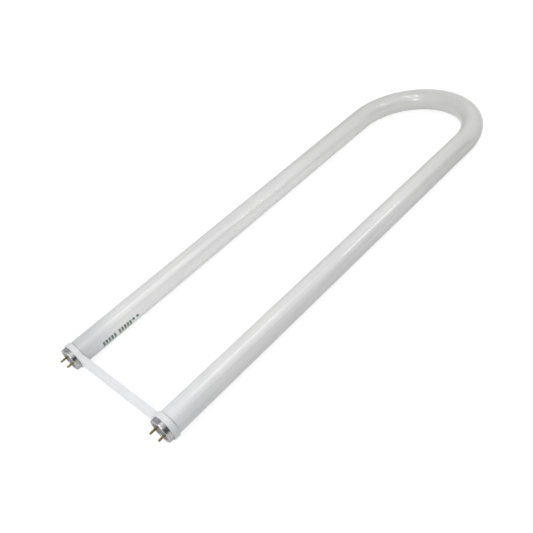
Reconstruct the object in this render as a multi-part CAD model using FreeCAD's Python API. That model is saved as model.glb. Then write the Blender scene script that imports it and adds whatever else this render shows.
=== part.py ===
import FreeCAD, Part
import math
import os

from FreeCAD import Vector

# Fluorescent lamp bent into a U, in millimetres.
# The lamp lies flat: X runs across the two legs, +Y towards the bend, +Z up.
# The origin is at the bottom centre of the whole lamp.
# Along a leg, places are given as a depth from the cap's face towards the bend.

# Whole lamp
overall_length = 571.5  # cap faces to the outside of the bend
leg_spacing = 152.4  # between the axes of the two legs
tube_radius = 13.0

# Cap shell, drawn from sheet
shell_step = 0.15  # the shell lies this much below the surface of the glass
shell_wall = 0.35
shell_edge_radius = 1.2  # outer edge between skirt and face
shell_lip_radius = 0.6  # outer edge where the face turns in round the disc
shell_lip_depth = 1.2  # from the cap's face to the edge of the lip
skirt_length = 10.5

# Contact pins
pin_spacing = 12.7
pin_radius = 1.175
pin_length = 7.0  # in front of the cap's face
pin_nose_radius = 0.8
pin_shank_step = 0.2  # the shank in the disc is this much thinner than the contact
pin_bore_radius = 0.7
pin_tip_wall = 1.0
pin_bead_width = 0.55  # ring round the pin in front of the disc
pin_bead_setback = 0.1  # from the cap's face
pin_head_width = 0.8  # turned over behind the disc
pin_head_thickness = 0.45
pin_crimp_distance = 4.2  # from the cap's face to the punch marks that grip the wire
pin_crimp_radius = 0.6
pin_crimp_depth = 0.3

# Insulating disc
disc_recess = 0.5  # front of the disc behind the cap's face
disc_thickness = 1.3  # of the flange behind the shell's lip
disc_rim = 1.1  # disc left outside the pins' beads
disc_edge_radius = 0.3

# Sealed end of the glass
glass_setback = 5.0  # cap's face to the rim of the glass
glass_rim_width = 1.9
glass_rim_radius = 0.8
shoulder_length = 0.9
shoulder_radius = 0.7
flare_depth = 10.0  # from the rim to where the flare becomes the stem
flare_root_radius = 3.0
stem_depth = 11.0  # from there to the bottom of the stem
stem_root_radius = 0.35
exhaust_radius = 2.0
exhaust_setback = 4.0  # cap's face to the tip of the exhaust tube
exhaust_tip_radius = 1.5

# Lead wires
lead_radius = 0.25
lead_gap = 0.6  # round a wire where it leaves the stem
lead_seal_depth = 3.0
lead_straight = 2.5  # behind the pin, before the wire slants to the stem
lead_bend_radius = 1.5

# Capping cement
cement_thickness = 0.45
cement_inset = 0.5  # from the skirt's open edge to the cement
cement_bead = 1.2  # cement in front of the rim of the glass

# Spacer brace
collar_setback = 5.2  # cap's face to the collar
collar_width = 6.3
collar_wall = 1.2
bar_height = 12.6
bar_blend_radius = 2.5  # between the bar and each collar
brace_edge_radius = 0.6
pocket_wall = 1.5
pocket_roof = 1.8
pocket_corner_radius = 0.7
pocket_rib = 1.4
pocket_count = 6

# Clearances
seat_clearance = 0.05  # between parts that bear on each other
skirt_clearance = 0.2  # between the skirt's open edge and the shoulder of the glass
collar_clearance = 0.1  # between the tube and a collar

# Sizes that follow
shell_radius = tube_radius - shell_step
shell_bore_radius = shell_radius - shell_wall
neck_radius = shell_bore_radius - cement_thickness
bead_radius = pin_radius + pin_bead_width
shank_radius = pin_radius - pin_shank_step
head_radius = shank_radius + pin_head_width
boss_radius = pin_spacing / 2 + bead_radius + disc_rim
shell_opening_radius = boss_radius + seat_clearance
disc_front = shell_lip_depth + seat_clearance
disc_back = disc_front + disc_thickness
pin_back = disc_back + seat_clearance + pin_head_thickness
lead_root_offset = exhaust_radius + lead_gap + lead_radius
stem_radius = lead_root_offset + lead_radius + lead_gap
flare_end = glass_setback + flare_depth
stem_bottom = flare_end + stem_depth
shoulder_start = skirt_length + skirt_clearance
collar_bore_radius = tube_radius + collar_clearance
collar_radius = collar_bore_radius + collar_wall
blend_reach = collar_radius + bar_blend_radius  # from a collar's axis to the axis of a blend
blend_rise = bar_height / 2 + bar_blend_radius
blend_offset = math.sqrt(blend_reach**2 - blend_rise**2)  # from a collar's axis to the bar's end
bar_length = leg_spacing - 2 * blend_offset

# Places
axis_height = collar_radius
cap_face_y = -(overall_length - pin_length) / 2
bend_radius = leg_spacing / 2
leg_length = overall_length - tube_radius - bend_radius
leg_x = {"left": -leg_spacing / 2, "right": leg_spacing / 2}
pin_sign = {"left": {"outer": -1, "inner": 1}, "right": {"inner": -1, "outer": 1}}
along_leg = Vector(0, 1, 0)
upwards = Vector(0, 0, 1)


def at_leg(x, depth):
    """Point in the plane of the leg axes, at a depth behind the cap's face."""
    return Vector(x, cap_face_y + depth, axis_height)


def rounded_edges(corners, closed):
    """Edges of a line through (point, radius) corners, each corner turned by its own radius."""
    count = len(corners)
    starts = []
    ends = []
    arcs = []
    for index, (point, radius) in enumerate(corners):
        is_end = not closed and index in (0, count - 1)
        if radius == 0 or is_end:
            starts.append(point)
            ends.append(point)
            arcs.append(None)
            continue
        back = (corners[index - 1][0] - point).normalize()
        ahead = (corners[(index + 1) % count][0] - point).normalize()
        half_turn = back.getAngle(ahead) / 2
        middle = (back + ahead).normalize()
        start = point + back * (radius / math.tan(half_turn))
        end = point + ahead * (radius / math.tan(half_turn))
        crest = point + middle * (radius / math.sin(half_turn) - radius)
        starts.append(start)
        ends.append(end)
        arcs.append(Part.Arc(start, crest, end).toShape())
    edges = []
    for index in range(count):
        if arcs[index] is not None:
            edges.append(arcs[index])
        if closed or index < count - 1:
            edges.append(Part.LineSegment(ends[index], starts[(index + 1) % count]).toShape())
    return edges


def turned(axis_x, outline):
    """Solid turned about an axis along the leg from (radius, depth, corner radius) points."""
    corners = [(at_leg(axis_x + radius, depth), corner) for radius, depth, corner in outline]
    profile = Part.Face(Part.Wire(rounded_edges(corners, True)))
    return profile.revolve(at_leg(axis_x, 0), along_leg, 360)


def rod(x, radius, depth, length):
    """Round rod along the leg, from a depth behind the cap's face towards the bend."""
    return Part.makeCylinder(radius, length, at_leg(x, depth), along_leg)


def glass_leg(x):
    """Straight leg with its sealed end: exhaust tip, stem, flare, rim, neck and shoulder."""
    outline = [
        (0, exhaust_setback, 0),
        (exhaust_radius, exhaust_setback, exhaust_tip_radius),
        (exhaust_radius, stem_bottom, stem_root_radius),
        (stem_radius, stem_bottom, stem_root_radius),
        (stem_radius, flare_end, flare_root_radius),
        (neck_radius - glass_rim_width, glass_setback, glass_rim_radius),
        (neck_radius, glass_setback, glass_rim_radius),
        (neck_radius, shoulder_start, shoulder_radius / 2),
        (tube_radius, shoulder_start + shoulder_length, shoulder_radius),
        (tube_radius, leg_length, 0),
        (0, leg_length, 0),
    ]
    leg = turned(x, outline)
    for sign in (-1, 1):
        seal = rod(x + sign * lead_root_offset, lead_radius, stem_bottom, lead_seal_depth)
        leg = leg.cut(seal)
    return leg


def glass_bend():
    """Half ring of the tube between the far ends of the legs."""
    section = Part.Circle(at_leg(leg_x["right"], leg_length), along_leg, tube_radius)
    disc = Part.Face(Part.Wire(section.toShape()))
    return disc.revolve(at_leg(0, leg_length), upwards, 180)


def glass_tube():
    """The whole lamp glass, one solid."""
    tube = glass_leg(leg_x["left"]).fuse([glass_bend(), glass_leg(leg_x["right"])])
    return tube.removeSplitter()


def cap_shell(x):
    """Drawn cup: skirt, rounded edge, face, and a lip turned in round the insulating disc."""
    face_inside = shell_wall
    lip_bore = shell_opening_radius
    lip_back = shell_opening_radius + shell_wall
    outline = [
        (shell_radius, skirt_length, 0),
        (shell_radius, 0, shell_edge_radius),
        (lip_bore, 0, shell_lip_radius),
        (lip_bore, shell_lip_depth, 0),
        (lip_back, shell_lip_depth, 0),
        (lip_back, face_inside, shell_lip_radius - shell_wall),
        (shell_bore_radius, face_inside, shell_edge_radius - shell_wall),
        (shell_bore_radius, skirt_length, 0),
    ]
    return turned(x, outline)


def insulator(x):
    """Stepped disc: a boss in the shell's opening and a flange behind its lip, with two pin holes."""
    flange_radius = shell_bore_radius - seat_clearance
    outline = [
        (0, disc_recess, 0),
        (boss_radius, disc_recess, disc_edge_radius),
        (boss_radius, disc_front, 0),
        (flange_radius, disc_front, disc_edge_radius),
        (flange_radius, disc_back, disc_edge_radius),
        (0, disc_back, 0),
    ]
    disc = turned(x, outline)
    for sign in (-1, 1):
        hole_x = x + sign * pin_spacing / 2
        disc = disc.cut(rod(hole_x, shank_radius + seat_clearance, 0, disc_back + disc_recess))
    return disc


def contact_pin(x):
    """Tubular pin: rounded nose, bead in front of the disc, shank in it and a head behind it."""
    head_front = disc_back + seat_clearance
    bead_back = disc_recess - seat_clearance
    outline = [
        (0, -pin_length, 0),
        (pin_radius, -pin_length, pin_nose_radius),
        (pin_radius, pin_bead_setback, 0),
        (bead_radius, pin_bead_setback, (bead_back - pin_bead_setback) / 2),
        (bead_radius, bead_back, 0),
        (shank_radius, bead_back, 0),
        (shank_radius, head_front, 0),
        (head_radius, head_front, 0),
        (head_radius, pin_back, pin_head_thickness / 2),
        (pin_bore_radius, pin_back, 0),
        (pin_bore_radius, pin_tip_wall - pin_length, 0),
        (0, pin_tip_wall - pin_length, 0),
    ]
    pin = turned(x, outline)
    punch_height = pin_radius + pin_crimp_radius - pin_crimp_depth
    for level in (-1, 1):
        centre = at_leg(x, -pin_crimp_distance) + upwards * (level * punch_height)
        pin = pin.cut(Part.makeSphere(pin_crimp_radius, centre))
    return pin


def lead_wire(x, sign):
    """Wire from its seal in the stem, slanting out to the pin and into the pin's bore."""
    root = x + sign * lead_root_offset
    far = x + sign * pin_spacing / 2
    route = [
        (at_leg(root, stem_bottom + lead_seal_depth), 0),
        (at_leg(root, flare_end), lead_bend_radius),
        (at_leg(far, pin_back + lead_straight), lead_bend_radius),
        (at_leg(far, pin_tip_wall - pin_length + seat_clearance), 0),
    ]
    path = Part.Wire(rounded_edges(route, False))
    section = Part.Circle(route[0][0], along_leg, lead_radius)
    return path.makePipe(Part.Face(Part.Wire(section.toShape())))


def cement_ring(x):
    """Cement between the neck of the glass and the skirt, with a bead round the rim."""
    outer = shell_bore_radius - seat_clearance
    inner = neck_radius + seat_clearance
    bead_inner = neck_radius - glass_rim_radius
    outline = [
        (outer, skirt_length - cement_inset, 0),
        (outer, glass_setback - cement_bead, 0),
        (bead_inner, glass_setback - seat_clearance, 0),
        (inner, glass_setback - seat_clearance, glass_rim_radius),
        (inner, skirt_length - cement_inset, 0),
    ]
    return turned(x, outline)


def brace_outline():
    """Front outline of the brace: two round collars blended into the bar between them."""
    half_turn = math.atan2(blend_offset, blend_rise) / 2
    collar_share = collar_radius / blend_reach

    def point(side, x, z):
        """Point at a distance x from a collar's axis towards the bar, and at a height z on it."""
        return Vector(side * (leg_spacing / 2 - x), cap_face_y + collar_setback, axis_height + z)

    def blend_start(side, level):
        """Where the blend leaves the collar."""
        return point(side, blend_offset * collar_share, level * blend_rise * collar_share)

    def blend_end(side, level):
        """Where the blend meets the bar."""
        return point(side, blend_offset, level * bar_height / 2)

    curves = []
    for side in (-1, 1):
        outermost = point(side, -collar_radius, 0)
        curves.append(Part.Arc(blend_start(side, 1), outermost, blend_start(side, -1)))
        for level in (-1, 1):
            crest_x = blend_offset - bar_blend_radius * math.sin(half_turn)
            crest_z = blend_rise - bar_blend_radius * math.cos(half_turn)
            crest = point(side, crest_x, level * crest_z)
            curves.append(Part.Arc(blend_start(side, level), crest, blend_end(side, level)))
    for level in (-1, 1):
        curves.append(Part.LineSegment(blend_end(-1, level), blend_end(1, level)))
    return Part.Wire(Part.sortEdges([curve.toShape() for curve in curves])[0])


def pocket(start_x, length):
    """Pocket with rounded corners, cored into the bar from below."""
    near_y = cap_face_y + collar_setback + pocket_wall
    far_y = near_y + collar_width - 2 * pocket_wall
    bottom = axis_height - bar_height / 2
    outline = [(start_x, near_y), (start_x + length, near_y), (start_x + length, far_y), (start_x, far_y)]
    corners = [(Vector(x, y, bottom), pocket_corner_radius) for x, y in outline]
    mouth = Part.Face(Part.Wire(rounded_edges(corners, True)))
    return mouth.extrude(upwards * (bar_height - pocket_roof))


def spacer_brace():
    """One moulding: two collars that hold the legs apart, and a bar cored from below."""
    body = Part.Face(brace_outline()).extrude(along_leg * collar_width)
    rims = [edge for edge in body.Edges if edge.BoundBox.YLength < collar_width / 2]
    body = body.makeFillet(brace_edge_radius, rims)
    for x in leg_x.values():
        body = body.cut(rod(x, collar_bore_radius, collar_setback, collar_width))
    pitch = (bar_length + pocket_rib) / pocket_count
    for index in range(pocket_count):
        start_x = index * pitch - bar_length / 2
        body = body.cut(pocket(start_x, pitch - pocket_rib))
    return body


os.makedirs("parts", exist_ok=True)
glass_tube().exportStep("parts/glass_tube.step")
spacer_brace().exportStep("parts/spacer_brace.step")
for side, x in leg_x.items():
    cap_shell(x).exportStep("parts/" + side + "_cap_shell.step")
    insulator(x).exportStep("parts/" + side + "_insulator.step")
    cement_ring(x).exportStep("parts/" + side + "_cement.step")
    for place, sign in pin_sign[side].items():
        pin_x = x + sign * pin_spacing / 2
        contact_pin(pin_x).exportStep("parts/" + side + "_" + place + "_pin.step")
        lead_wire(x, sign).exportStep("parts/" + side + "_" + place + "_lead.step")
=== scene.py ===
"""Looks of a fluorescent lamp bent into a U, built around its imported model.

Sizes and places are in metres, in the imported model's own axes: X runs across the two legs, +Y from
the caps towards the bend, and +Z up from the floor that the lamp lies on. Angles round a leg are in
degrees, from the side that faces the other leg towards the top.
"""

import functools
import logging
import math
from dataclasses import dataclass
from enum import Enum
from typing import Any

import bmesh
import bpy
from mathutils import Matrix, Vector


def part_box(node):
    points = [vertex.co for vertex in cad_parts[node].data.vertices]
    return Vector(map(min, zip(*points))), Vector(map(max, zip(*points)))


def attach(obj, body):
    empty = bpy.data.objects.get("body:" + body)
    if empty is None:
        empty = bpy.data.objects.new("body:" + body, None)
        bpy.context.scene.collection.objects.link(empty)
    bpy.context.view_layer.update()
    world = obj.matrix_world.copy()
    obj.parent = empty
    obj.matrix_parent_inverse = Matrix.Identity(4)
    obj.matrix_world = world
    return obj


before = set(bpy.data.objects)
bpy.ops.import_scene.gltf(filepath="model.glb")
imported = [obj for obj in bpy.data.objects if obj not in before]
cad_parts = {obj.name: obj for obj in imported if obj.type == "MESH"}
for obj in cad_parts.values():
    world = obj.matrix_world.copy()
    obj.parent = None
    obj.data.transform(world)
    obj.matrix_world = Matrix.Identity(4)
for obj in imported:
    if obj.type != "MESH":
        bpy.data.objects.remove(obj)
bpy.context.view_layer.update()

Colour = tuple[float, float, float]
Triple = tuple[float, float, float]
Pair = tuple[float, float]
Socket = bpy.types.NodeSocket
LOG = logging.getLogger("lamp")
BODY = "root"


class Side(Enum):
    """The two legs of the lamp."""

    LEFT = "left"
    RIGHT = "right"


class Place(Enum):
    """The two pins of a cap."""

    OUTER = "outer"
    INNER = "inner"


@dataclass(frozen=True)
class Leg:
    """One straight leg of the tube, measured on its packed cap.

    Attributes:
        side: Which leg it is.
        axis_x: X of the leg's axis.
        axis_z: Height of the leg's axis.
        face_y: Y of the cap's end face.
        inward: 1 where the other leg lies towards +X, or else -1.
    """

    side: Side
    axis_x: float
    axis_z: float
    face_y: float
    inward: int

    @classmethod
    def measure(cls, side: Side) -> "Leg":
        """Read a leg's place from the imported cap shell.

        Args:
            side: The leg to read.

        Returns:
            The leg with its axis and its end face.
        """
        low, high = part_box(f"{side.value}_cap_shell")
        axis_x = (low.x + high.x) / 2
        return cls(side, axis_x, (low.z + high.z) / 2, low.y, 1 if axis_x < 0 else -1)


class Graph:
    """A short way to add and join the nodes of one node tree."""

    def __init__(self, tree: bpy.types.NodeTree) -> None:
        """Keep the tree that nodes are added to.

        Args:
            tree: A material's, a world's or a group's node tree.
        """
        self.tree = tree

    def fill(self, node: bpy.types.Node, inputs: dict[Any, Any]) -> None:
        """Set a node's inputs, or join them to outputs.

        Args:
            node: The node.
            inputs: Values or output sockets, by the input's name or number.
        """
        for name, value in inputs.items():
            if isinstance(value, Socket):
                self.tree.links.new(value, node.inputs[name])
            else:
                node.inputs[name].default_value = value

    def add(self, kind: str, inputs: dict[Any, Any] | None = None, **settings: Any) -> bpy.types.Node:
        """Add one node.

        Args:
            kind: Blender's name of the node type.
            inputs: Values or output sockets, by the input's name or number.
            **settings: Properties of the node itself.

        Returns:
            The new node.
        """
        node = self.tree.nodes.new(kind)
        for name, value in settings.items():
            setattr(node, name, value)
        self.fill(node, inputs or {})
        return node

    def math(self, operation: str, *values: Any) -> Socket:
        """Work out one number from up to three others.

        Args:
            operation: The Math node's operation.
            *values: Values or output sockets.

        Returns:
            The socket that holds the result.
        """
        return self.add("ShaderNodeMath", dict(enumerate(values)), operation=operation).outputs[0]

    def blend(self, factor: Any, first: Colour | Socket, second: Colour) -> Socket:
        """Blend two colours.

        Args:
            factor: The second colour's share, a value or an output socket.
            first: Colour at a factor of 0, or a socket that holds one.
            second: Colour at a factor of 1.

        Returns:
            The socket that holds the blended colour.
        """
        start = first if isinstance(first, Socket) else (*first, 1.0)
        # A Mix node has its two colours at inputs 6 and 7, and gives the blend at output 2.
        inputs = {0: factor, 6: start, 7: (*second, 1.0)}
        return self.add("ShaderNodeMix", inputs, data_type="RGBA").outputs[2]


def new_group(
    name: str, inputs: dict[str, tuple[str, Any]], output: str
) -> tuple[Graph, bpy.types.NodeOutputs]:
    """Start a shader node group with named sockets and one output.

    Args:
        name: The group's name.
        inputs: Socket type and default value of each input, by name.
        output: Name of the output, a number.

    Returns:
        The group's graph, and the sockets that hold what it is given.
    """
    tree = bpy.data.node_groups.new(name, "ShaderNodeTree")
    for label, (kind, default) in inputs.items():
        socket = tree.interface.new_socket(label, in_out="INPUT", socket_type=kind)
        if default is not None:
            socket.default_value = default
    tree.interface.new_socket(output, in_out="OUTPUT", socket_type="NodeSocketFloat")
    graph = Graph(tree)
    return graph, graph.add("NodeGroupInput").outputs


@functools.cache
def mottle_group() -> bpy.types.NodeTree:
    """Build the soft, cloudy variation that coated glass, plastic and handled metal share.

    Returns:
        A group that puts out a share between 0 and High.
    """
    graph, given = new_group(
        "soft_mottle",
        {
            "Vector": ("NodeSocketVector", None),
            "Scale": ("NodeSocketFloat", 20.0),
            "High": ("NodeSocketFloat", 1.0),
        },
        "Share",
    )
    noise = graph.add(
        "ShaderNodeTexNoise",
        {"Vector": given["Vector"], "Scale": given["Scale"], "Detail": 3.0},
    )
    share = graph.add(
        "ShaderNodeMapRange",
        {
            "Value": noise.outputs["Fac"],
            "From Min": 0.3,
            "From Max": 0.7,
            "To Max": given["High"],
        },
        interpolation_type="SMOOTHSTEP",
    )
    graph.add("NodeGroupOutput", {"Share": share.outputs["Result"]})
    return graph.tree


@functools.cache
def drawn_lines_group() -> bpy.types.NodeTree:
    """Build the fine lines that drawing or turning leaves, from noise stretched across them.

    Returns:
        A group that puts out a height between 0 and 1.
    """
    graph, given = new_group(
        "drawn_lines",
        {
            "Vector": ("NodeSocketVector", None),
            "Stretch": ("NodeSocketVector", (1.0, 1.0, 1.0)),
            "Scale": ("NodeSocketFloat", 100.0),
        },
        "Height",
    )
    stretched = graph.add(
        "ShaderNodeVectorMath",
        {0: given["Vector"], 1: given["Stretch"]},
        operation="MULTIPLY",
    )
    noise = graph.add(
        "ShaderNodeTexNoise",
        {"Vector": stretched.outputs[0], "Scale": given["Scale"], "Detail": 2.0},
    )
    graph.add("NodeGroupOutput", {"Height": noise.outputs["Fac"]})
    return graph.tree


@functools.cache
def band_group() -> bpy.types.NodeTree:
    """Build a soft-edged band along one number.

    Returns:
        A group that puts out 1 at the band's centre, and 0 from half its width on.
    """
    graph, given = new_group(
        "soft_band",
        {
            "Value": ("NodeSocketFloat", 0.0),
            "Centre": ("NodeSocketFloat", 0.0),
            "Half Width": ("NodeSocketFloat", 0.001),
        },
        "Mask",
    )
    away = graph.math("SUBTRACT", given["Value"], given["Centre"])
    share = graph.math("DIVIDE", graph.math("ABSOLUTE", away), given["Half Width"])
    mask = graph.add(
        "ShaderNodeMapRange",
        {"Value": share, "To Min": 1.0, "To Max": 0.0},
        interpolation_type="SMOOTHSTEP",
    )
    graph.add("NodeGroupOutput", {"Mask": mask.outputs["Result"]})
    return graph.tree


class MaterialSheet:
    """One material under way: its graph, its shader and its object coordinates."""

    def __init__(self, name: str) -> None:
        """Start a material that holds a bare shader.

        Args:
            name: The material's name.
        """
        self.material = bpy.data.materials.new(name)
        self.material.use_nodes = True
        self.material.node_tree.nodes.clear()
        self.graph = Graph(self.material.node_tree)
        self.shader = self.graph.add("ShaderNodeBsdfPrincipled")
        self.graph.add("ShaderNodeOutputMaterial", {"Surface": self.shader.outputs[0]})
        self.place = self.graph.add("ShaderNodeTexCoord").outputs["Object"]
        self._axes: bpy.types.Node | None = None

    def axis(self, letter: str) -> Socket:
        """Give one object coordinate.

        Args:
            letter: X, Y or Z.

        Returns:
            The socket that holds it.
        """
        if self._axes is None:
            self._axes = self.graph.add("ShaderNodeSeparateXYZ", {0: self.place})
        return self._axes.outputs[letter]

    def feed(self, inputs: dict[str, Any]) -> None:
        """Set the shader's inputs: values all over, and output sockets where they vary.

        Args:
            inputs: Values or output sockets, by the input's name.
        """
        self.graph.fill(self.shader, inputs)

    def group(self, tree: bpy.types.NodeTree, values: dict[str, Any]) -> Socket:
        """Place a shared group with its own values.

        Args:
            tree: The group.
            values: Input values or sockets by name.

        Returns:
            The group's output.
        """
        return self.graph.add("ShaderNodeGroup", values, node_tree=tree).outputs[0]

    def mottle(self, scale: float, high: float = 1.0) -> Socket:
        """Give a cloudy share.

        Args:
            scale: Clouds in a metre.
            high: Highest share.

        Returns:
            The socket that holds the share.
        """
        return self.group(mottle_group(), {"Vector": self.place, "Scale": scale, "High": high})

    def lines(self, scale: float, stretch: Triple) -> Socket:
        """Give the height of fine drawn lines.

        Args:
            scale: Waves in a metre, before the stretch.
            stretch: How much denser the lines are along X, Y and Z.

        Returns:
            The socket that holds the height.
        """
        values = {"Vector": self.place, "Scale": scale, "Stretch": stretch}
        return self.group(drawn_lines_group(), values)

    def band(self, letter: str, centre: float, half_width: float) -> Socket:
        """Give a soft band across one axis.

        Args:
            letter: The axis, X, Y or Z.
            centre: The band's middle.
            half_width: From the middle to where the band ends.

        Returns:
            The socket that holds the mask.
        """
        values = {"Value": self.axis(letter), "Centre": centre, "Half Width": half_width}
        return self.group(band_group(), values)

    def rise(self, value: Socket, start: float, end: float) -> Socket:
        """Give a share that goes from 0 at a start to 1 at an end, smoothly.

        Args:
            value: The number that it follows.
            start: Where it is 0.
            end: Where it is 1.

        Returns:
            The socket that holds the share.
        """
        inputs = {"Value": value, "From Min": start, "From Max": end}
        ramp = self.graph.add("ShaderNodeMapRange", inputs, interpolation_type="SMOOTHSTEP")
        return ramp.outputs["Result"]

    def span(self, share: Socket, start: float, end: float) -> Socket:
        """Give a number that goes evenly from a start to an end.

        Args:
            share: How far it has gone, from 0 to 1.
            start: The number at 0.
            end: The number at 1.

        Returns:
            The socket that holds the number.
        """
        return self.graph.math("MULTIPLY_ADD", share, end - start, start)

    def bump(self, height: Socket, strength: float, distance: float) -> None:
        """Shape the shader's normal from a height.

        Args:
            height: The socket that holds the height, between 0 and 1.
            strength: Share of the bump that shows.
            distance: Height of a full step, in metres.
        """
        inputs = {"Height": height, "Strength": strength, "Distance": distance}
        node = self.graph.add("ShaderNodeBump", inputs)
        self.feed({"Normal": node.outputs["Normal"]})


@dataclass(frozen=True)
class CoatedGlass:
    """White powder coat seen through clear drawn glass.

    The coat is darker near the left leg's cap and a little cooler near the right one's. The bend is
    stretched, and its coat with it. A painted shadow line lies where the glass goes into the collars,
    and painted shade darkens the coat towards the tube's outline, where the glass also mirrors less.

    Attributes:
        bend_start: Y where the legs end.
        collar_end: Y where the glass comes out of the brace's collars.
        leg_colour: Coat on the straight legs.
        bend_colour: Coat on the bend.
        thin_colour: Darker coat colour at the left leg's cap.
        cool_colour: Coat at the right leg's cap.
        cloud_colour: Thinner patches of the coat.
        streak_colour: Streaks along the legs, where the drawn glass is uneven.
        outline_shade_colour: Painted shade that the coat turns to towards the tube's outline.
        collar_shadow_colour: Painted shadow where the glass goes into the brace's collars.
        bend_blend: Length of leg over which the colour turns to the bend's.
        cap_blend: Length of leg over which the colours at the caps turn to the leg's.
        cloud_scale: Clouds in a metre.
        cloud_share: Share of the cloud colour in the thickest cloud.
        line_scale: Draw lines in a metre, before they are stretched.
        line_stretch: How much denser the draw lines are along X, Y and Z.
        line_strength: Share of the draw lines' height that shows.
        line_height: Height of a full draw line.
        streak_range: Heights of the draw lines between which a streak gathers.
        streak_share: Share of the streak colour in a full streak.
        collar_shadow_reach: How far the painted shadow line reaches from a collar.
        collar_shadow_share: Share of the painted shadow's colour next to the collar.
        outline_range: Where the outline gathers, from 0, facing the eye, to 1, edge on.
        outline_shade_share: Share of the painted shade at the outline.
        outline_gloss: What the outline keeps of the clear glass's mirroring.
    """

    bend_start: float
    collar_end: float
    leg_colour: Colour = (0.722, 0.722, 0.716)
    bend_colour: Colour = (0.559, 0.557, 0.543)
    thin_colour: Colour = (0.523, 0.526, 0.535)
    cool_colour: Colour = (0.706, 0.714, 0.742)
    cloud_colour: Colour = (0.63, 0.635, 0.635)
    streak_colour: Colour = (0.52, 0.525, 0.53)
    outline_shade_colour: Colour = (0.43, 0.435, 0.44)
    collar_shadow_colour: Colour = (0.30, 0.30, 0.30)
    bend_blend: float = 0.16
    cap_blend: float = 0.06
    cloud_scale: float = 22.0
    cloud_share: float = 0.35
    line_scale: float = 9.0
    line_stretch: Triple = (50.0, 0.7, 50.0)
    line_strength: float = 0.1
    line_height: float = 0.0002
    streak_range: Pair = (0.4, 0.8)
    streak_share: float = 0.4
    collar_shadow_reach: float = 0.0014
    collar_shadow_share: float = 0.5
    outline_range: Pair = (0.46, 0.66)
    outline_shade_share: float = 0.3
    outline_gloss: float = 0.5

    def material(self) -> bpy.types.Material:
        """Build the material.

        Returns:
            The finished material.
        """
        sheet = MaterialSheet("coated_glass")
        sheet.feed({"Roughness": 0.42, "IOR": 1.5, "Coat Roughness": 0.045})
        graph = sheet.graph
        bend_share = sheet.rise(sheet.axis("Y"), self.bend_start - self.bend_blend, self.bend_start)
        near_cap = sheet.rise(sheet.axis("Y"), self.collar_end + self.cap_blend, self.collar_end)
        on_left = graph.math("LESS_THAN", sheet.axis("X"), 0.0)
        plain = graph.blend(bend_share, self.leg_colour, self.bend_colour)
        cooled = graph.blend(near_cap, plain, self.cool_colour)
        # Darker towards the left leg's cap.
        cap_darkened = graph.blend(graph.math("MULTIPLY", near_cap, on_left), cooled, self.thin_colour)
        clouds = sheet.mottle(self.cloud_scale, self.cloud_share)
        clouded = graph.blend(clouds, cap_darkened, self.cloud_colour)
        draw_lines = sheet.lines(self.line_scale, self.line_stretch)
        streaks = graph.math("MULTIPLY", sheet.rise(draw_lines, *self.streak_range), self.streak_share)
        streaked = graph.blend(streaks, clouded, self.streak_colour)
        # A painted shadow line where the glass goes into the collars.
        collar_shadow_line = sheet.band("Y", self.collar_end, self.collar_shadow_reach)
        collar_shadow = graph.math("MULTIPLY", collar_shadow_line, self.collar_shadow_share)
        collar_shaded = graph.blend(collar_shadow, streaked, self.collar_shadow_colour)
        # Painted shade that darkens the coat towards the tube's outline, as the surface turns edge on.
        facing = graph.add("ShaderNodeLayerWeight", {"Blend": 0.5}).outputs["Facing"]
        outline = sheet.rise(facing, *self.outline_range)
        shade = graph.math("MULTIPLY", outline, self.outline_shade_share)
        sheet.feed({"Base Color": graph.blend(shade, collar_shaded, self.outline_shade_colour)})
        sheet.feed({"Coat Weight": sheet.span(outline, 1.0, self.outline_gloss)})
        sheet.bump(draw_lines, self.line_strength, self.line_height)
        return sheet.material


@dataclass(frozen=True)
class DrawnAluminium:
    """Bright aluminium of the cap shells, with the rings that drawing leaves and faint handling.

    Attributes:
        clean_colour: Bare metal.
        dull_colour: Metal under a thin film.
        edge_tint: What is left of the mirrored light where the metal is seen at a grazing angle.
        film_scale: Patches of the film in a metre.
        ring_scale: Rings in a metre, before they are stretched.
        ring_stretch: How much denser the rings are along X, Y and Z.
        ring_strength: Share of the rings' height that shows.
        ring_height: Height of a full ring.
        roughness: Roughness in the grooves of the rings and on their ridges.
    """

    clean_colour: Colour = (0.48, 0.48, 0.48)
    dull_colour: Colour = (0.37, 0.37, 0.375)
    edge_tint: Colour = (0.68, 0.68, 0.69)
    film_scale: float = 260.0
    ring_scale: float = 60.0
    ring_stretch: Triple = (1.0, 60.0, 1.0)
    ring_strength: float = 0.25
    ring_height: float = 0.00004
    roughness: Pair = (0.17, 0.29)

    def material(self) -> bpy.types.Material:
        """Build the material.

        Returns:
            The finished material.
        """
        sheet = MaterialSheet("drawn_aluminium")
        sheet.feed({"Metallic": 1.0, "Specular Tint": (*self.edge_tint, 1.0)})
        film = sheet.mottle(self.film_scale)
        sheet.feed({"Base Color": sheet.graph.blend(film, self.clean_colour, self.dull_colour)})
        rings = sheet.lines(self.ring_scale, self.ring_stretch)
        sheet.feed({"Roughness": sheet.span(rings, *self.roughness)})
        sheet.bump(rings, self.ring_strength, self.ring_height)
        return sheet.material


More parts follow.
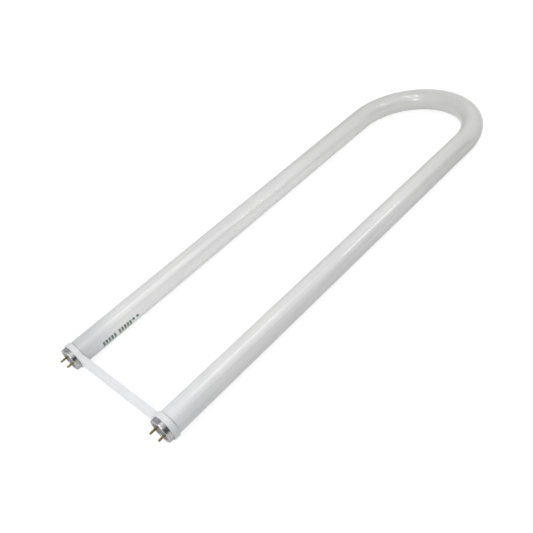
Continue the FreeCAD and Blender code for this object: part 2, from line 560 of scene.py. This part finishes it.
@dataclass(frozen=True)
class PinBrass:
    """Drawn brass of the contact pins, with a spot of solder on each tip.

    Attributes:
        pin_offset: From a leg's axis to a pin's axis.
        leg_offset: From the lamp's middle to a leg's axis.
        axis_z: Height of the pins.
        tip_y: Y of the pins' tips.
        brass_colour: Clean brass.
        tarnish_colour: Browned brass.
        solder_colour: Solder.
        solder_radius: Radius of the spot.
        solder_reach: Radius to which the spot's soft edge reaches.
        tarnish_scale: Patches of tarnish in a metre.
        tarnish_share: Share of the tarnish in the brownest patch.
        ring_scale: Drawn rings in a metre, before they are stretched.
        ring_stretch: How much denser the rings are along X, Y and Z.
        ring_strength: Share of the rings' height that shows.
        ring_height: Height of a full ring.
        roughness: Roughness of clean brass and of full tarnish.
    """

    pin_offset: float
    leg_offset: float
    axis_z: float
    tip_y: float
    brass_colour: Colour = (0.37, 0.31, 0.15)
    tarnish_colour: Colour = (0.20, 0.16, 0.07)
    solder_colour: Colour = (0.42, 0.42, 0.41)
    solder_radius: float = 0.0005
    solder_reach: float = 0.0006
    tarnish_scale: float = 900.0
    tarnish_share: float = 0.8
    ring_scale: float = 90.0
    ring_stretch: Triple = (1.0, 40.0, 1.0)
    ring_strength: float = 0.2
    ring_height: float = 0.00003
    roughness: Pair = (0.22, 0.42)

    def material(self) -> bpy.types.Material:
        """Build the material.

        Returns:
            The finished material.
        """
        sheet = MaterialSheet("pin_brass")
        sheet.feed({"Metallic": 1.0})
        graph = sheet.graph
        from_leg = graph.math("SUBTRACT", graph.math("ABSOLUTE", sheet.axis("X")), self.leg_offset)
        across = graph.math("SUBTRACT", graph.math("ABSOLUTE", from_leg), self.pin_offset)
        upward = graph.math("SUBTRACT", sheet.axis("Z"), self.axis_z)
        along = graph.math("SUBTRACT", sheet.axis("Y"), self.tip_y)
        offset = graph.add("ShaderNodeCombineXYZ", {0: across, 1: along, 2: upward})
        reach = graph.add("ShaderNodeVectorMath", {0: offset.outputs[0]}, operation="LENGTH")
        solder = sheet.rise(reach.outputs["Value"], self.solder_reach, self.solder_radius)
        tarnish = sheet.mottle(self.tarnish_scale, self.tarnish_share)
        brass = graph.blend(tarnish, self.brass_colour, self.tarnish_colour)
        sheet.feed({"Base Color": graph.blend(solder, brass, self.solder_colour)})
        sheet.feed({"Roughness": sheet.span(tarnish, *self.roughness)})
        rings = sheet.lines(self.ring_scale, self.ring_stretch)
        sheet.bump(rings, self.ring_strength, self.ring_height)
        return sheet.material


@dataclass(frozen=True)
class MouldedPlastic:
    """Moulded plastic with cloudy colour and a fine moulded skin.

    Attributes:
        name: The material's name.
        colour: Main colour.
        cloud_colour: Colour of the cloudy patches.
        roughness: Roughness of the skin.
        skin_scale: Pits of the skin in a metre.
        relief: Height of a full ridge, such as the parting line.
        seam_y: Y of the mould's parting line, or None without one.
        thin_start: Distance from X = 0 at which its wall turns thin, or None where it doesn't.
        thin_blend: Length before that, over which the colour turns.
        thin_colour: Greyer colour that it has from there on.
        cloud_scale: Cloudy patches in a metre.
        cloud_share: Share of the cloud colour in the thickest patch.
        skin_share: Depth of the pits, as a share of the relief.
        relief_strength: Share of the relief that shows.
        seam_reach: From the parting line's middle to its edge.
    """

    name: str
    colour: Colour
    cloud_colour: Colour
    roughness: float
    skin_scale: float
    relief: float
    seam_y: float | None = None
    thin_start: float | None = None
    thin_blend: float = 0.003
    thin_colour: Colour = (0.66, 0.666, 0.682)
    cloud_scale: float = 70.0
    cloud_share: float = 0.8
    skin_share: float = 0.3
    relief_strength: float = 0.5
    seam_reach: float = 0.00012

    def material(self) -> bpy.types.Material:
        """Build the material.

        Returns:
            The finished material.
        """
        sheet = MaterialSheet(self.name)
        sheet.feed({"Roughness": self.roughness, "IOR": 1.5})
        clouds = sheet.mottle(self.cloud_scale, self.cloud_share)
        plastic = sheet.graph.blend(clouds, self.colour, self.cloud_colour)
        if self.thin_start is not None:
            # The collars are coloured greyer than the rest of the brace.
            sideways = sheet.graph.math("ABSOLUTE", sheet.axis("X"))
            thin = sheet.rise(sideways, self.thin_start - self.thin_blend, self.thin_start)
            plastic = sheet.graph.blend(thin, plastic, self.thin_colour)
        sheet.feed({"Base Color": plastic})
        height = sheet.mottle(self.skin_scale, self.skin_share)
        if self.seam_y is not None:
            seam = sheet.band("Y", self.seam_y, self.seam_reach)
            height = sheet.graph.math("ADD", height, seam)
        sheet.bump(height, self.relief_strength, self.relief)
        return sheet.material


@dataclass(frozen=True)
class WireMetal:
    """Dull nickel of the lead wires.

    Attributes:
        colour: Clean metal.
        dull_colour: Metal that the flame has dulled.
        dull_scale: Dull patches in a metre.
        line_scale: Draw lines in a metre, before they are stretched.
        line_stretch: How much denser the lines are along X, Y and Z.
        line_strength: Share of the lines' height that shows.
        line_height: Height of a full line.
    """

    colour: Colour = (0.52, 0.50, 0.47)
    dull_colour: Colour = (0.36, 0.33, 0.30)
    dull_scale: float = 700.0
    line_scale: float = 400.0
    line_stretch: Triple = (1.0, 0.1, 1.0)
    line_strength: float = 0.2
    line_height: float = 0.00002

    def material(self) -> bpy.types.Material:
        """Build the material.

        Returns:
            The finished material.
        """
        sheet = MaterialSheet("lead_wire")
        sheet.feed({"Metallic": 1.0, "Roughness": 0.35})
        dull = sheet.mottle(self.dull_scale)
        sheet.feed({"Base Color": sheet.graph.blend(dull, self.colour, self.dull_colour)})
        draw_lines = sheet.lines(self.line_scale, self.line_stretch)
        sheet.bump(draw_lines, self.line_strength, self.line_height)
        return sheet.material


@dataclass(frozen=True)
class PrintedInk:
    """Dark green ink, which runs out thin towards its lower edge.

    Attributes:
        full_z: Height down to which the ink is full.
        thin_z: Height where it is thinnest.
        ink_colour: Full ink.
        thin_colour: Thin ink.
        speckle_scale: Speckles in a metre.
        speckle_share: How thin the ink is in a speckle.
    """

    full_z: float
    thin_z: float
    ink_colour: Colour = (0.030, 0.075, 0.048)
    thin_colour: Colour = (0.36, 0.46, 0.39)
    speckle_scale: float = 500.0
    speckle_share: float = 0.35

    def material(self) -> bpy.types.Material:
        """Build the material.

        Returns:
            The finished material.
        """
        sheet = MaterialSheet("printed_ink")
        sheet.feed({"Roughness": 0.5})
        low = sheet.rise(sheet.axis("Z"), self.full_z, self.thin_z)
        speckles = sheet.mottle(self.speckle_scale, self.speckle_share)
        thin = sheet.graph.math("MAXIMUM", low, speckles)
        sheet.feed({"Base Color": sheet.graph.blend(thin, self.ink_colour, self.thin_colour)})
        return sheet.material


def dress(node: str, material: bpy.types.Material) -> None:
    """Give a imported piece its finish.

    Args:
        node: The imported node's name.
        material: The finish.
    """
    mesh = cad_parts[node].data
    mesh.materials.clear()
    mesh.materials.append(material)
    LOG.info("dressed %s in %s", node, material.name)


def add_object(name: str, data: bpy.types.ID) -> bpy.types.Object:
    """Put an object into the scene, at the origin.

    Args:
        name: The object's name.
        data: Its mesh, its lamp or its camera.

    Returns:
        The object.
    """
    made = bpy.data.objects.new(name, data)
    bpy.context.scene.collection.objects.link(made)
    return made


def add_mesh(name: str, mesh: bmesh.types.BMesh, material: bpy.types.Material) -> bpy.types.Object:
    """Put a finished bmesh into the scene.

    Args:
        name: The object's name.
        mesh: The finished mesh, which is freed.
        material: Its finish.

    Returns:
        The object.
    """
    data = bpy.data.meshes.new(name)
    mesh.to_mesh(data)
    mesh.free()
    data.materials.append(material)
    return add_object(name, data)


@dataclass
class PrintedMark:
    """Plain printed blocks and dots on the glass of one leg, where a lamp carries its print.

    Attributes:
        leg: The leg that is printed.
        tube_radius: Radius of the glass.
        first_depths: From the cap's face to the first block of each group.
        block_count: Number of blocks in a group.
        block_pitch: From one block to the next.
        block_width: Length of a block along the leg.
        block_span: Lowest and highest angle of a block.
        dot_angle: Angle at which the dots stand.
        dot_radius: Radius of a dot.
        dot_depths: From the cap's face to each dot.
        dot_sides: Number of flat sides that make a dot round.
        ink_thickness: How far the ink stands on the glass, and how far it reaches into it.
        arc_step: Angle of one facet of a block.
    """

    leg: Leg
    tube_radius: float
    first_depths: tuple[float, ...] = (0.0345, 0.0555)
    block_count: int = 5
    block_pitch: float = 0.0036
    block_width: float = 0.0024
    block_span: Pair = (-34.0, 3.0)
    dot_angle: float = -5.0
    dot_radius: float = 0.0017
    dot_depths: tuple[float, ...] = (0.0755, 0.0810)
    dot_sides: int = 20
    ink_thickness: float = 0.00003
    arc_step: float = 3.0

    def outwards(self, angle: float) -> Vector:
        """Give the direction from the leg's axis at an angle, in degrees."""
        turn = math.radians(angle)
        return Vector((self.leg.inward * math.cos(turn), 0.0, math.sin(turn)))

    def axis_point(self, depth: float) -> Vector:
        """Give the point of the leg's axis at a depth from the cap's face."""
        return Vector((self.leg.axis_x, self.leg.face_y + depth, self.leg.axis_z))

    def block(self, mesh: bmesh.types.BMesh, depth: float) -> None:
        """Spin one block's section round the leg's axis.

        Args:
            mesh: The mesh that the block goes into.
            depth: From the cap's face to the block.
        """
        lowest, highest = self.block_span
        turn = highest - lowest
        centre = self.axis_point(depth)
        along = Vector((0.0, 1.0, 0.0))
        inside, outside = self.tube_radius - self.ink_thickness, self.tube_radius + self.ink_thickness
        width = self.block_width
        corners = [(inside, 0.0), (outside, 0.0), (outside, width), (inside, width)]
        start = self.outwards(lowest)
        ring = [mesh.verts.new(centre + start * radius + along * shift) for radius, shift in corners]
        section = mesh.faces.new(ring)
        # A turn about +Y goes from +Z towards +X, so an angle that climbs from +X is negative.
        bmesh.ops.spin(
            mesh,
            geom=[section, *section.edges, *section.verts],
            cent=centre,
            axis=along,
            angle=-math.radians(turn) * self.leg.inward,
            steps=max(1, round(turn / self.arc_step)),
            use_duplicate=False,
        )

    def dot(self, mesh: bmesh.types.BMesh, depth: float) -> None:
        """Set one round dot on the glass.

        Args:
            mesh: The mesh that the dot goes into.
            depth: From the cap's face to the dot's middle.
        """
        centre = self.axis_point(depth)
        outwards = self.outwards(self.dot_angle)
        upright = outwards.to_track_quat("Z", "Y").to_matrix().to_4x4()
        place = Matrix.Translation(centre + outwards * self.tube_radius) @ upright
        made = bmesh.ops.create_cone(
            mesh,
            cap_ends=True,
            segments=self.dot_sides,
            radius1=self.dot_radius,
            radius2=self.dot_radius,
            depth=2 * self.ink_thickness,
            matrix=place,
        )
        # The flat disc's two faces are wrapped round the glass.
        for vertex in made["verts"]:
            radial = vertex.co - centre
            radial.y = 0.0
            above = (vertex.co - centre).dot(outwards) > self.tube_radius
            reach = self.tube_radius + (self.ink_thickness if above else -self.ink_thickness)
            vertex.co += radial.normalized() * (reach - radial.length)

    def build(self, material: bpy.types.Material) -> None:
        """Build the groups of blocks and the dots.

        Args:
            material: The ink.
        """
        mesh = bmesh.new()
        for first_depth in self.first_depths:
            for index in range(self.block_count):
                self.block(mesh, first_depth + index * self.block_pitch)
        for depth in self.dot_depths:
            self.dot(mesh, depth)
        bmesh.ops.recalc_face_normals(mesh, faces=mesh.faces)
        mark = add_mesh("printed_mark", mesh, material)
        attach(mark, BODY)
        LOG.info("built printed_mark with %d faces", len(mark.data.polygons))


@dataclass
class GlassTube:
    """The bent glass with its printed mark.

    Attributes:
        marked_leg: The leg that carries the print.
        tube_radius: Radius of the glass.
        bend_start: Y where the straight legs end.
        collar_end: Y where the glass comes out of the brace's collars.
        full_drop: How far below the leg's axis the ink is still full, in radii of the glass.
        thin_drop: How far below it the ink is thinnest.
    """

    marked_leg: Leg
    tube_radius: float
    bend_start: float
    collar_end: float
    full_drop: float = 0.2
    thin_drop: float = 0.45

    @classmethod
    def measure(cls, legs: dict[Side, Leg]) -> "GlassTube":
        """Read the tube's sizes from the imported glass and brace.

        Args:
            legs: Both legs.

        Returns:
            The tube.
        """
        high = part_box("glass_tube")[1]
        bend_radius = legs[Side.RIGHT].axis_x
        tube_radius = high.x - bend_radius
        bend_start = high.y - tube_radius - bend_radius
        return cls(legs[Side.LEFT], tube_radius, bend_start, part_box("spacer_brace")[1].y)

    def build(self) -> None:
        """Dress the glass and print its mark."""
        dress("glass_tube", CoatedGlass(self.bend_start, self.collar_end).material())
        middle_z = self.marked_leg.axis_z
        full_z = middle_z - self.full_drop * self.tube_radius
        thin_z = middle_z - self.thin_drop * self.tube_radius
        PrintedMark(self.marked_leg, self.tube_radius).build(PrintedInk(full_z, thin_z).material())


@dataclass
class BiPinCap:
    """One end cap: shell, insulating disc, pins, and the cement and wires inside it.

    Attributes:
        leg: The leg that it closes.
        finishes: Its materials by packed slot.
    """

    leg: Leg
    finishes: dict[str, bpy.types.Material]

    def build(self) -> None:
        """Dress the cap's pieces."""
        side = self.leg.side.value
        dress(f"{side}_cap_shell", self.finishes["cap_metal"])
        dress(f"{side}_insulator", self.finishes["disc_plastic"])
        dress(f"{side}_cement", self.finishes["cement"])
        for place in Place:
            dress(f"{side}_{place.value}_pin", self.finishes["pin_brass"])
            dress(f"{side}_{place.value}_lead", self.finishes["lead_metal"])


@dataclass
class SpacerBrace:
    """The white moulding that holds the legs apart.

    Attributes:
        middle_y: Y of its middle, where the mould parted.
        collar_start: Distance from X = 0 at which its thin collars start.
    """

    middle_y: float
    collar_start: float

    @classmethod
    def measure(cls) -> "SpacerBrace":
        """Read the brace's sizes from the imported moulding, whose collars are as wide as high.

        Returns:
            The brace.
        """
        low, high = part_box("spacer_brace")
        return cls((low.y + high.y) / 2, high.x - (high.z - low.z))

    def build(self) -> None:
        """Dress the brace."""
        plastic = MouldedPlastic(
            name="brace_plastic",
            colour=(0.722, 0.728, 0.742),
            cloud_colour=(0.69, 0.697, 0.714),
            roughness=0.38,
            skin_scale=1500.0,
            relief=0.00002,
            seam_y=self.middle_y,
            thin_start=self.collar_start,
        )
        dress("spacer_brace", plastic.material())


def cap_finishes(legs: dict[Side, Leg]) -> dict[str, bpy.types.Material]:
    """Build the materials that both caps share.

    Args:
        legs: Both legs.

    Returns:
        The materials by packed slot.
    """
    right = legs[Side.RIGHT]
    low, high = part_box("right_inner_pin")
    brass = PinBrass(
        pin_offset=right.axis_x - (low.x + high.x) / 2,
        leg_offset=right.axis_x,
        axis_z=right.axis_z,
        tip_y=low.y,
    )
    disc = MouldedPlastic(
        name="disc_plastic",
        colour=(0.055, 0.058, 0.064),
        cloud_colour=(0.085, 0.088, 0.095),
        roughness=0.42,
        skin_scale=2200.0,
        relief=0.00002,
    )
    cement = MouldedPlastic(
        name="capping_cement",
        colour=(0.55, 0.44, 0.30),
        cloud_colour=(0.42, 0.33, 0.22),
        roughness=0.85,
        skin_scale=2600.0,
        relief=0.00008,
    )
    return {
        "cap_metal": DrawnAluminium().material(),
        "disc_plastic": disc.material(),
        "pin_brass": brass.material(),
        "cement": cement.material(),
        "lead_metal": WireMetal().material(),
    }


def camera_axes(azimuth: float, elevation: float, roll: float) -> Matrix:
    """Work out a camera's axes from the angles that it looks along.

    Args:
        azimuth: Degrees, 0 looking along +Y and growing towards +X.
        elevation: Degrees above the floor.
        roll: Degrees that the camera is turned about its line of sight.

    Returns:
        A matrix whose columns are the camera's right, up and back.
    """
    turn, rise = math.radians(azimuth), math.radians(elevation)
    ahead = math.cos(rise)
    back = Vector((math.sin(turn) * ahead, -math.cos(turn) * ahead, math.sin(rise)))
    right = Vector((0.0, 0.0, 1.0)).cross(back).normalized()
    axes = Matrix((right, back.cross(right), back)).transposed()
    return axes @ Matrix.Rotation(math.radians(roll), 3, "Z")


@dataclass(frozen=True)
class PhotoCamera:
    """The camera of the photograph.

    Attributes:
        azimuth: Degrees from +Y that it looks along.
        elevation: Degrees that it stands above the floor.
        roll: Degrees that it is turned.
        distance: From the point that it looks at.
        target: That point.
        lens: Focal length, in millimetres.
        sensor: Sensor width, in millimetres.
        nearest: Distance from which it sees things.
    """

    azimuth: float = 55.589
    elevation: float = 39.494
    roll: float = -18.253
    distance: float = 0.7216
    target: Triple = (0.0116, -0.0766, 0.0143)
    lens: float = 45.882
    sensor: float = 36.0
    nearest: float = 0.01

    def build(self) -> None:
        """Place the camera and make it the scene's."""
        data = bpy.data.cameras.new("photo_camera")
        data.lens = self.lens
        data.sensor_width = self.sensor
        data.clip_start = self.nearest
        camera = add_object("photo_camera", data)
        axes = camera_axes(self.azimuth, self.elevation, self.roll)
        place = Vector(self.target) + axes.col[2] * self.distance
        camera.matrix_world = Matrix.Translation(place) @ axes.to_4x4()
        bpy.context.scene.camera = camera


@dataclass(frozen=True)
class SoftLamp:
    """A rectangular studio lamp.

    Attributes:
        name: Its name.
        place: Its middle.
        target: The point that it faces.
        length_along: Direction of its long side.
        size: Its long and its short side.
        radiance: How bright its face looks, where 1 is white paper.
        lights: Whether it lights what it faces.
        mirrored: Whether metal and glass show it.
        beam: Degrees over which its light fans out, as a grid in front of it leaves them.
    """

    name: str
    place: Triple
    target: Triple
    length_along: Triple
    size: Pair
    radiance: float
    lights: bool = True
    mirrored: bool = True
    beam: float = 180.0

    def build(self) -> None:
        """Place the lamp, with the power that its radiance needs."""
        half_beam = math.radians(self.beam / 2)
        # The same power looks brighter from straight ahead by this much in a narrower beam.
        gathered = math.tan(half_beam) / (math.tan(half_beam) - half_beam)
        data = bpy.data.lights.new(self.name, "AREA")
        data.shape = "RECTANGLE"
        data.size, data.size_y = self.size
        data.spread = math.radians(self.beam)
        data.energy = self.radiance * math.pi * self.size[0] * self.size[1] / gathered
        lamp = add_object(self.name, data)
        lamp.visible_diffuse = self.lights
        lamp.visible_glossy = self.mirrored
        back = (Vector(self.place) - Vector(self.target)).normalized()
        along = Vector(self.length_along)
        right = (along - back * along.dot(back)).normalized()
        axes = Matrix((right, back.cross(right), back)).transposed()
        lamp.matrix_world = Matrix.Translation(Vector(self.place)) @ axes.to_4x4()


@dataclass(frozen=True)
class StudioCard:
    """A card that stands beside the lamp, outside the picture, and shows only in reflections.

    Attributes:
        name: Its name.
        place_x: X of its plane.
        start: Y and Z of its lowest near corner.
        end: Y and Z of its highest far corner.
        colour: Its colour.
    """

    name: str
    place_x: float
    start: Pair
    end: Pair
    colour: Colour

    def build(self) -> None:
        """Stand the card."""
        mesh = bmesh.new()
        (near, low), (far, high) = self.start, self.end
        corners = [(near, low), (far, low), (far, high), (near, high)]
        mesh.faces.new([mesh.verts.new((self.place_x, y, z)) for y, z in corners])
        sheet = MaterialSheet(self.name)
        sheet.feed({"Base Color": (*self.colour, 1.0), "Roughness": 0.9})
        card = add_mesh(self.name, mesh, sheet.material)
        card.visible_camera = False
        card.visible_diffuse = False
        card.visible_shadow = False
        card.visible_transmission = False


LAMPS = (
    # The main light, on the whole lamp.
    SoftLamp(
        name="strip_lamp",
        place=(0.31, 0.275, 0.545),
        target=(0.05, 0.05, 0.014),
        length_along=(0.719, 0.695, 0.0),
        size=(0.96, 0.09),
        radiance=4.5,
        mirrored=False,
    ),
    # Draws the near part of each leg's highlight.
    SoftLamp(
        name="near_strip",
        place=(0.05, -0.035, 0.45),
        target=(0.0, -0.16, 0.014),
        length_along=(0.09, 1.0, 0.0),
        size=(0.2, 0.045),
        radiance=4.3,
        lights=False,
    ),
    # Draws the far part of each leg's highlight.
    SoftLamp(
        name="far_strip",
        place=(0.2, 0.188, 0.25),
        target=(0.0, 0.02, 0.014),
        length_along=(0.1, 1.0, 0.0),
        size=(0.12, 0.05),
        radiance=4.0,
        lights=False,
    ),
    # Draws the streak on the bend.
    SoftLamp(
        name="high_lamp",
        place=(-0.03, -1.57, 6.0),
        target=(-0.03, 0.26, 0.024),
        length_along=(0.84, 0.54, 0.0),
        size=(2.6, 0.44),
        radiance=16.0,
        lights=False,
    ),
    # Gives each cap its light band.
    SoftLamp(
        name="cap_lamp",
        place=(0.08, -0.2, 0.45),
        target=(0.03, -0.25, 0.014),
        length_along=(0.0, 1.0, 0.0),
        size=(0.28, 0.13),
        radiance=0.55,
    ),
    # Lights the brace and the near ends of the legs.
    SoftLamp(
        name="fill_lamp",
        place=(0.045, -0.40, 0.28),
        target=(0.06, -0.24, 0.014),
        length_along=(1.0, 0.0, 0.0),
        size=(0.15, 0.15),
        radiance=2.9,
        mirrored=False,
    ),
    # Lights the bend.
    SoftLamp(
        name="bend_fill",
        place=(0.0, 0.15, 0.095),
        target=(0.0, 0.262, 0.014),
        length_along=(1.0, 0.0, 0.0),
        size=(0.08, 0.08),
        radiance=0.65,
        mirrored=False,
    ),
    # Draws the short glint on the bend.
    SoftLamp(
        name="bend_glint",
        place=(0.1, 0.273, 0.273),
        target=(-0.061, 0.229, 0.024),
        length_along=(0.42, 0.906, 0.0),
        size=(0.03, 0.05),
        radiance=9.0,
        lights=False,
        beam=30.0,
    ),
    # Lights the whole lamp from the front, and draws the spot on the bend.
    SoftLamp(
        name="front_lamp",
        place=(0.347, -1.1, 0.775),
        target=(0.0, 0.0, 0.014),
        length_along=(1.0, 0.0, 0.0),
        size=(0.33, 0.33),
        radiance=7.8,
    ),
)

CARDS = (
    # Draws the dark block on each cap.
    StudioCard(
        name="right_card",
        place_x=0.45,
        start=(-1.8, 0.03),
        end=(0.6, 0.47),
        colour=(0.2, 0.2, 0.205),
    ),
    # Greys a little what the left sides mirror.
    StudioCard(
        name="left_card",
        place_x=-0.45,
        start=(-0.6, 0.02),
        end=(0.7, 2.2),
        colour=(0.88, 0.88, 0.88),
    ),
)


@dataclass(frozen=True)
class Studio:
    """White floor and surroundings, soft lamps and two cards.

    Attributes:
        floor_side: Side of the square floor.
        floor_colour: Colour of the floor.
        grey_colour: What the floor on the lamp's right gives back, as from a grey card there.
        grey_edge: X where that card starts.
        floor_glow: Share of the floor that shows plain white to the camera.
        floor_white: Strength of that white, which makes up for the share that is lit.
        mirrored_glow: What of the share is left where metal and glass mirror the floor.
        surround_light: Strength of the surroundings on the lamp.
    """

    floor_side: float = 30.0
    floor_colour: Colour = (0.9, 0.9, 0.9)
    grey_colour: Colour = (0.34, 0.34, 0.34)
    grey_edge: float = 0.1
    floor_glow: float = 0.75
    floor_white: float = 1.13
    mirrored_glow: float = 0.9
    surround_light: float = 0.68

    def background_share(self, graph: Graph, mirrored_share: float) -> Socket:
        """Tell the rays that see the background from those that light things.

        Args:
            graph: The material's or the world's graph.
            mirrored_share: Value for glossy and transmission rays.

        Returns:
            1 for camera rays, the given share for mirrored ones, or else 0.
        """
        path = graph.add("ShaderNodeLightPath")
        mirrored = graph.math(
            "MAXIMUM", path.outputs["Is Glossy Ray"], path.outputs["Is Transmission Ray"]
        )
        share = graph.math("MULTIPLY", mirrored, mirrored_share)
        return graph.math("MAXIMUM", path.outputs["Is Camera Ray"], share)

    def build_floor(self) -> None:
        """Lay the floor, white to the camera apart from the lamp's soft shadow."""
        mesh = bmesh.new()
        bmesh.ops.create_grid(mesh, x_segments=1, y_segments=1, size=self.floor_side / 2)
        material = bpy.data.materials.new("floor_paper")
        material.use_nodes = True
        material.node_tree.nodes.clear()
        graph = Graph(material.node_tree)
        seen = self.background_share(graph, self.mirrored_glow)
        place = graph.add("ShaderNodeTexCoord").outputs["Object"]
        along = graph.add("ShaderNodeSeparateXYZ", {0: place}).outputs["X"]
        on_card = graph.math("GREATER_THAN", along, self.grey_edge)
        hidden = graph.math("SUBTRACT", 1.0, seen)
        card_share = graph.math("MULTIPLY", on_card, hidden)
        colour = graph.blend(card_share, self.floor_colour, self.grey_colour)
        paper = graph.add("ShaderNodeBsdfDiffuse", {"Color": colour})
        white = graph.add("ShaderNodeEmission", {"Strength": self.floor_white})
        share = graph.math("MULTIPLY", seen, self.floor_glow)
        mix = graph.add("ShaderNodeMixShader", {0: share, 1: paper.outputs[0], 2: white.outputs[0]})
        graph.add("ShaderNodeOutputMaterial", {"Surface": mix.outputs[0]})
        floor = add_mesh("floor", mesh, material)

    def build_surround(self) -> None:
        """Light the lamp from all round, and show white behind it."""
        world = bpy.data.worlds.new("surround")
        world.use_nodes = True
        world.node_tree.nodes.clear()
        graph = Graph(world.node_tree)
        plain = (1.0, 1.0, 1.0, 1.0)
        light = graph.add("ShaderNodeBackground", {"Color": plain, "Strength": self.surround_light})
        white = graph.add("ShaderNodeBackground", {"Color": plain, "Strength": 1.0})
        mix = graph.add(
            "ShaderNodeMixShader",
            {0: self.background_share(graph, 1.0), 1: light.outputs[0], 2: white.outputs[0]},
        )
        graph.add("ShaderNodeOutputWorld", {"Surface": mix.outputs[0]})
        bpy.context.scene.world = world

    def build(self) -> None:
        """Build the whole studio."""
        self.build_floor()
        self.build_surround()
        for item in (*LAMPS, *CARDS):
            item.build()
        bpy.context.scene.view_settings.view_transform = "Standard"
        LOG.info("built the studio")


def main() -> None:
    """Build the camera, the studio and every part of the lamp in order."""
    logging.basicConfig(level=logging.INFO, format="%(name)s: %(message)s")
    PhotoCamera().build()
    Studio().build()
    legs = {side: Leg.measure(side) for side in Side}
    GlassTube.measure(legs).build()
    finishes = cap_finishes(legs)
    for leg in legs.values():
        BiPinCap(leg, finishes).build()
    SpacerBrace.measure().build()


if __name__ == "__main__":
    main()
